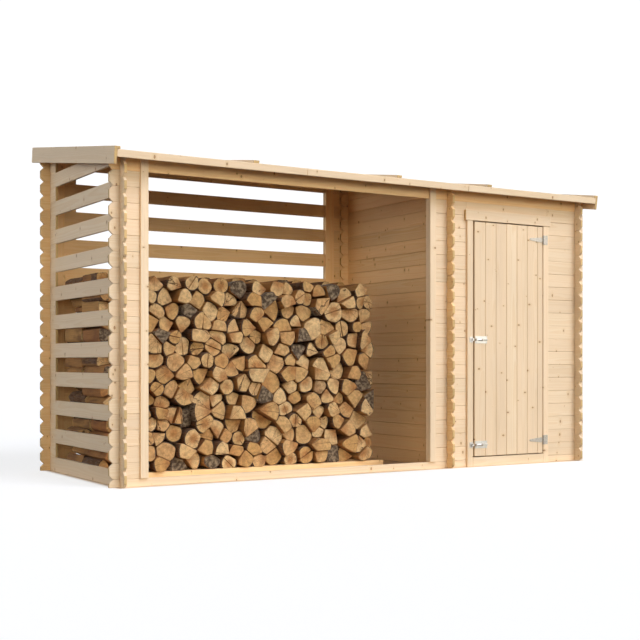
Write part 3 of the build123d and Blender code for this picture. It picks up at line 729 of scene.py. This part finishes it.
def log_seeds(low, high, draw, fixed):
    """Places of the logs in a row, as uneven courses about those that are given."""
    rows = round((high.z - low.z) / LOG_COURSE)
    columns = round((high.x - low.x) / LOG_PITCH)
    course = (high.z - low.z) / rows
    pitch = (high.x - low.x) / columns
    seeds = [Vector((middle.x, 0, middle.z)) for middle in fixed]
    given = len(seeds)
    for row in range(-1, rows + 1):
        for column in range(-1, columns + 1):
            x = low.x + (column + 0.25 + 0.5 * (row % 2)) * pitch + draw.gauss(0, LOG_JITTER) * pitch
            z = low.z + (row + 0.5) * course + draw.gauss(0, LOG_JITTER) * course
            place = Vector((x, 0, z))
            if all(stretched(place - other) > LOG_APART for other in seeds[:given]):
                seeds.append(place)
    return seeds


def stretched(gap):
    """Length of a gap between seeds, counted in pitches."""
    return math.hypot(gap.x / LOG_PITCH, gap.z / LOG_COURSE)


def cut_outline(bm, place, outward):
    """Takes away what of an outline lies past a line."""
    geometry = bm.verts[:] + bm.edges[:] + bm.faces[:]
    bmesh.ops.bisect_plane(bm, geom=geometry, dist=1e-6, plane_co=place, plane_no=outward, clear_outer=True)


def log_outline(place, others, low, high):
    """The room of one log among its neighbours, as one face in the plane of the front."""
    bm = bmesh.new()
    turn = Matrix.Translation(place) @ Matrix.Rotation(math.radians(90), 4, "X")
    bmesh.ops.create_grid(bm, x_segments=1, y_segments=1, size=LOG_PITCH, matrix=turn)
    for other in others:
        gap = other - place
        if 0 < gap.length < LOG_REACH:
            cut_outline(bm, place + gap / 2 - gap.normalized() * LOG_GAP / 2, gap.normalized())
    cut_outline(bm, Vector((low.x + ROW_SIDE, 0, 0)), -X)
    cut_outline(bm, Vector((0, 0, low.z + ROW_FOOT)), -Z)
    cut_outline(bm, Vector((0, 0, high.z + ROW_TOP)), Z)
    cut_outline(bm, Vector((high.x + ROW_SIDE, 0, 0)), X)
    return bm


def shape_log(bm, draw, point):
    """Gives an outline the split sides and the round bark side of its log.

    Returns the pith, the radius and the outlines, which are two where the log lies there split in halves.
    """
    corners = [v.co.copy() for v in bm.verts]
    centre = sum(corners, Vector()) / len(corners)
    kind = draw.random() if point is None else 1
    if kind < WHOLE_ROUND:
        pith = centre
        radius = sum((c - centre).length for c in corners) / len(corners) * 0.93
    elif kind < HALF_ROUND:
        edge = max(bm.edges, key=lambda e: e.calc_length())
        pith = (edge.verts[0].co + edge.verts[1].co) / 2
        radius = max((c - pith).length for c in corners) * draw.uniform(0.82, 0.92)
    else:
        angle = draw.uniform(0, math.tau)
        heading = Vector((math.cos(angle), 0, 0.8 * math.sin(angle)))
        if point is not None:
            heading = point - centre
        pith = max(corners, key=lambda c: (c - centre).dot(heading))
        inward = (centre - pith).normalized()
        half = math.radians(draw.uniform(34, 52))
        for turn in (-half, half):
            side = Matrix.Rotation(turn, 3, "Y") @ inward
            outward = side.cross(Y) * (1 if turn > 0 else -1)
            if outward.dot(inward) > 0:
                outward.negate()
            cut_outline(bm, pith, outward)
        radius = max((v.co - pith).length for v in bm.verts) * draw.uniform(0.86, 0.95)
    for step in range(ARC_STEPS):
        angle = math.tau * step / ARC_STEPS
        outward = Vector((math.cos(angle), 0, math.sin(angle)))
        cut_outline(bm, pith + outward * radius, outward)
    if not IN_HALVES < kind < WHOLE_ROUND:
        return pith, radius, [bm]
    angle = draw.uniform(0, math.pi)
    aside = Vector((math.cos(angle), 0, math.sin(angle)))
    halves = [bm, bm.copy()]
    for half, outward in zip(halves, (aside, -aside)):
        cut_outline(half, pith - outward * LOG_CLEFT, outward)
    return pith, radius, halves


def grow_log(bm, front, rear, draw):
    """Draws an outline out along its log, a little bowed and tapered, with sawn ends not quite square.

    Returns the corners of the flat middle of both ends.
    """
    centre = sum((v.co for v in bm.verts), Vector()) / len(bm.verts)
    corners = [v for v in bm.verts if v.calc_edge_angle(0) > 0.5]
    bmesh.ops.bevel(
        bm, geom=corners, offset=LOG_ROUND, segments=3, profile=0.5, affect="VERTICES",
        clamp_overlap=True, material=-1
    )
    bmesh.ops.remove_doubles(bm, verts=bm.verts, dist=SAME)
    bmesh.ops.translate(bm, verts=bm.verts, vec=(0, front, 0))
    step = (rear - front) / LOG_RINGS
    bow = Vector((draw.uniform(-LOG_BOW, LOG_BOW), 0, draw.uniform(-LOG_BOW, LOG_BOW)))
    taper = draw.uniform(-LOG_TAPER, LOG_TAPER)
    region = list(bm.faces)
    for ring in range(LOG_RINGS):
        made = bmesh.ops.extrude_face_region(bm, geom=region)["geom"]
        if ring > 0:
            bmesh.ops.delete(bm, geom=region, context="FACES_ONLY")
        moved = [v for v in made if isinstance(v, bmesh.types.BMVert)]
        region = [f for f in made if isinstance(f, bmesh.types.BMFace)]
        side = math.cos(math.pi * (ring + 1) / LOG_RINGS)
        bmesh.ops.translate(bm, verts=moved, vec=Vector((0, step, 0)) + bow * side)
        for vert in moved:
            vert.co.x += (vert.co.x - centre.x) * taper
            vert.co.z += (vert.co.z - centre.z) * taper
    lean = (draw.gauss(0, LOG_LEAN), draw.gauss(0, LOG_LEAN))
    middle = (front + rear) / 2
    for vert in bm.verts:
        if abs(vert.co.y - middle) > abs(rear - middle) - 0.001:
            vert.co.y += (vert.co.x - centre.x) * lean[0] + (vert.co.z - centre.z) * lean[1]
        else:
            shake = noise.noise_vector(vert.co * 60)
            vert.co.x += shake.x * LOG_SHAKE
            vert.co.z += shake.z * LOG_SHAKE
    bmesh.ops.recalc_face_normals(bm, faces=bm.faces)
    ends = [face for face in bm.faces if abs(face.normal.y) > SAWN]
    flat = bmesh.ops.extrude_discrete_faces(bm, faces=ends)["faces"]
    for face in flat:
        middle = face.calc_center_median()
        outward = Y * math.copysign(END_CROWN, face.normal.y)
        about = Matrix.Translation(-middle)
        bmesh.ops.scale(bm, vec=(END_INSET, 1, END_INSET), space=about, verts=face.verts)
        bmesh.ops.translate(bm, vec=outward, verts=face.verts)
    return {vert for face in flat for vert in face.verts}


def paint_log(bm, pith, radius):
    """Gives each face its surface: 0 sawn end, 1 bark, 2 split side."""
    bm.normal_update()
    for face in bm.faces:
        if abs(face.normal.y) > SAWN:
            face.material_index = 0
            face.smooth = len(face.verts) == 4
            continue
        reach = [math.hypot(v.co.x - pith.x, v.co.z - pith.z) for v in face.verts]
        face.material_index = 1 if min(reach) > 0.92 * radius else 2
        face.smooth = True
    for edge in bm.edges:
        kinds = {f.material_index for f in edge.link_faces}
        edge.smooth = 0 not in kinds


def stack_logs(node, front_play, rear_play, seed):
    """One row of the stack, log by log, in place of its solid."""
    draw = random.Random(seed)
    low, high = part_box(node)
    row, proud = proud_logs(node)
    seeds = log_seeds(low, high, draw, [middle for middle, depth, point in proud])
    whole = bmesh.new()
    sections = []
    facts = []
    edges = []
    for number, place in enumerate(seeds):
        if not (low.x < place.x < high.x and low.z < place.z < high.z):
            continue
        outline = log_outline(place, [s for s in seeds if s is not place], low, high)
        front = row + draw.uniform(*front_play)
        rear = high.y + draw.uniform(*rear_play)
        point = None
        if number < len(proud):
            front, point = proud[number][1:]
        pith, radius, outlines = shape_log(outline, draw, point)
        own = (radius, draw.random(), draw.random())
        for outline in outlines:
            if sum(face.calc_area() for face in outline.faces) < SMALLEST_LOG:
                outline.free()
                continue
            flat = grow_log(outline, front + draw.uniform(-LOG_STEP, LOG_STEP), rear, draw)
            paint_log(outline, pith, radius)
            for vert in outline.verts:
                sections.extend((vert.co.x - pith.x, vert.co.z - pith.z, vert.co.y))
                facts.extend(own)
                edges.extend((0.0 if vert in flat else 1.0, 0.0, 0.0))
            outline.faces.sort(key=lambda face: face.calc_center_median().dot(FACE_ORDER))
            add_to(whole, outline)
    piece = make_piece(f"{node}_logs", whole, LOG_MATERIALS, section=sections, log=facts, edge=edges)
    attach(piece, "store")
    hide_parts(node)


# Ironwork
def dress_ironwork():
    """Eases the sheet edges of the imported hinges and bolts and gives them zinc."""
    for node, material in (
        ("hinge_straps", DULL_ZINC), ("hinge_plates", DULL_ZINC), ("bolt_guides", BRIGHT_ZINC),
        ("lower_bolt", BRIGHT_ZINC), ("upper_bolt", BRIGHT_ZINC), ("bolt_keepers", BRIGHT_ZINC),
    ):
        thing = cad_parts[node]
        weld = thing.modifiers.new("weld", "WELD")
        weld.merge_threshold = SAME
        bevel = thing.modifiers.new("eased", "BEVEL")
        bevel.width = EASED_SHEET
        bevel.segments = 2
        bevel.limit_method = "ANGLE"
        bevel.angle_limit = SHEET_SHARP
        thing.data.materials.clear()
        thing.data.materials.append(material)


def screw_heads(name, body, material, places):
    """Countersunk heads, each with its recess, that stand a little out of the sheet at the given places."""
    bm = bmesh.new()
    for place in places:
        turn = Matrix.Translation(place) @ Matrix.Rotation(math.radians(90), 4, "X")
        made = bmesh.ops.create_cone(
            bm, cap_ends=True, segments=16, radius1=SCREW_HEAD, radius2=SCREW_HEAD * SCREW_TOP,
            depth=2 * SCREW_PROUD, matrix=turn
        )
        faces = {face for v in made["verts"] for face in v.link_faces}
        front = [face for face in faces if face.normal.y < -FACING]
        bmesh.ops.inset_individual(bm, faces=front, thickness=SCREW_HEAD * SCREW_RECESS, depth=0)
        bmesh.ops.translate(bm, verts=front[0].verts, vec=(0, SCREW_PROUD, 0))
    piece = make_piece(name, bm, (material,))
    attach(piece, body)


def drive_screws():
    """Screws in the straps and plates of the hinges and in the bolts and keepers."""
    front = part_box("door_post_right")[0].y
    sheet = front - HINGE_SHEET
    low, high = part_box("hinge_plates")
    hinges = (low.z + HINGE_MIDDLE, high.z - HINGE_MIDDLE)
    heads = [Vector((high.x - PLATE_SCREW_IN, sheet, z + up)) for z in hinges for up in PLATE_SCREWS]
    screw_heads("hinge_plate_screws", "store", DULL_ZINC, heads)
    low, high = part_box("hinge_straps")
    heads = [Vector((low.x + along, sheet, z)) for z in hinges for along in STRAP_SCREWS]
    screw_heads("hinge_strap_screws", "door", DULL_ZINC, heads)
    sheet = front - BOLT_SHEET
    for node, body, ins, half, up in BOLT_SCREWS:
        low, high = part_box(node)
        heads = [
            Vector((low.x + along, sheet, z + side * up))
            for z in (low.z + half, high.z - half) for along in ins for side in (-1, 1)
        ]
        screw_heads(f"{node}_screws", body, BRIGHT_ZINC, heads)


# Floor, light and camera
def lay_floor():
    """A wide pale floor, which throws less light back up than it shows, and whose tan inside the store is
    painted warm bounce light.
    """
    f = Finish("studio_floor")
    camera_ray = f.add("ShaderNodeLightPath", {}).outputs["Is Camera Ray"]
    across = f.parts(f.vector("ABSOLUTE", f.place()))
    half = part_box("front_top_board")[1].x
    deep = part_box("partition_wall")[1].y
    outside = f.math(
        "MAXIMUM", f.span(across[0], half - FLOOR_EDGE, half), f.span(across[1], deep - FLOOR_EDGE, deep)
    )
    shade = f.mix(camera_ray, (FLOOR_BOUNCE,) * 3, (FLOOR_SEEN,) * 3)
    glow = f.math("MULTIPLY", f.math("MULTIPLY", camera_ray, outside), FLOOR_GLOW)
    f.feed(f.shader.inputs["Emission Color"], (1, 1, 1, 1))
    f.feed(f.shader.inputs["Emission Strength"], glow)
    # Inside the store's footprint the floor has no glow and takes a tan colour that is painted warm bounce
    # light
    f.finish(f.mix(outside, FLOOR_PAINTED_BOUNCE, shade), 0.9)
    bm = bmesh.new()
    lower = Matrix.Translation((0, 0, -FLOOR_DROP))
    bmesh.ops.create_grid(bm, x_segments=1, y_segments=1, size=FLOOR_HALF, matrix=lower)
    floor = make_piece("studio_floor", bm, (f.material,))


def light_studio():
    """A broad key from the front right, in a room whose walls are bright and whose background is white."""
    world = bpy.data.worlds.new("studio")
    bpy.context.scene.world = world
    world.use_nodes = True
    room = Nodes(world.node_tree)
    way = room.add("ShaderNodeTexCoord", {}).outputs["Generated"]
    colour = WALL_LIGHT
    for other, source, (low, high) in OTHER_LIGHTS:
        colour = room.mix(room.span(room.vector("DOT_PRODUCT", way, source), low, high), colour, other)
    walls = room.add("ShaderNodeBackground", {"Color": colour})
    seen = room.tree.nodes["Background"]
    room.feed(seen.inputs["Color"], (1, 1, 1, 1))
    room.feed(seen.inputs["Strength"], BACKGROUND)
    camera_ray = room.add("ShaderNodeLightPath", {}).outputs["Is Camera Ray"]
    choice = room.add("ShaderNodeMixShader", {0: camera_ray, 1: walls.outputs[0], 2: seen.outputs[0]})
    room.feed(room.tree.nodes["World Output"].inputs["Surface"], choice.outputs[0])
    lamp = bpy.data.lights.new("key", "SUN")
    lamp.energy = KEY_LIGHT
    lamp.angle = math.radians(KEY_WIDTH)
    lamp.color = KEY_COLOUR
    key = bpy.data.objects.new("key", lamp)
    level = math.cos(math.radians(KEY_HEIGHT))
    side = math.radians(KEY_SIDE)
    toward = Vector((math.sin(side) * level, -math.cos(side) * level, math.sin(math.radians(KEY_HEIGHT))))
    key.rotation_euler = toward.to_track_quat("Z", "Y").to_euler()
    bpy.context.scene.collection.objects.link(key)
    bpy.context.scene.view_settings.view_transform = "Standard"


def set_camera():
    """The photograph's own view."""
    lens = bpy.data.cameras.new("camera")
    lens.lens = CAMERA_LENS
    lens.shift_y = CAMERA_SHIFT
    camera = bpy.data.objects.new("camera", lens)
    camera.location = CAMERA_PLACE
    camera.rotation_euler = (math.radians(90), 0, CAMERA_TURN)
    bpy.context.scene.collection.objects.link(camera)
    bpy.context.scene.camera = camera


set_camera()
light_studio()
lay_floor()
dress_walls()
dress_posts()
dress_door()
dress_roof()
stack_logs("firewood_front_row", (-0.016, 0.040), (-0.006, 0.0), 11)
stack_logs("firewood_back_row", (0.0, 0.006), (-0.02, 0.02), 14)
dress_ironwork()
drive_screws()
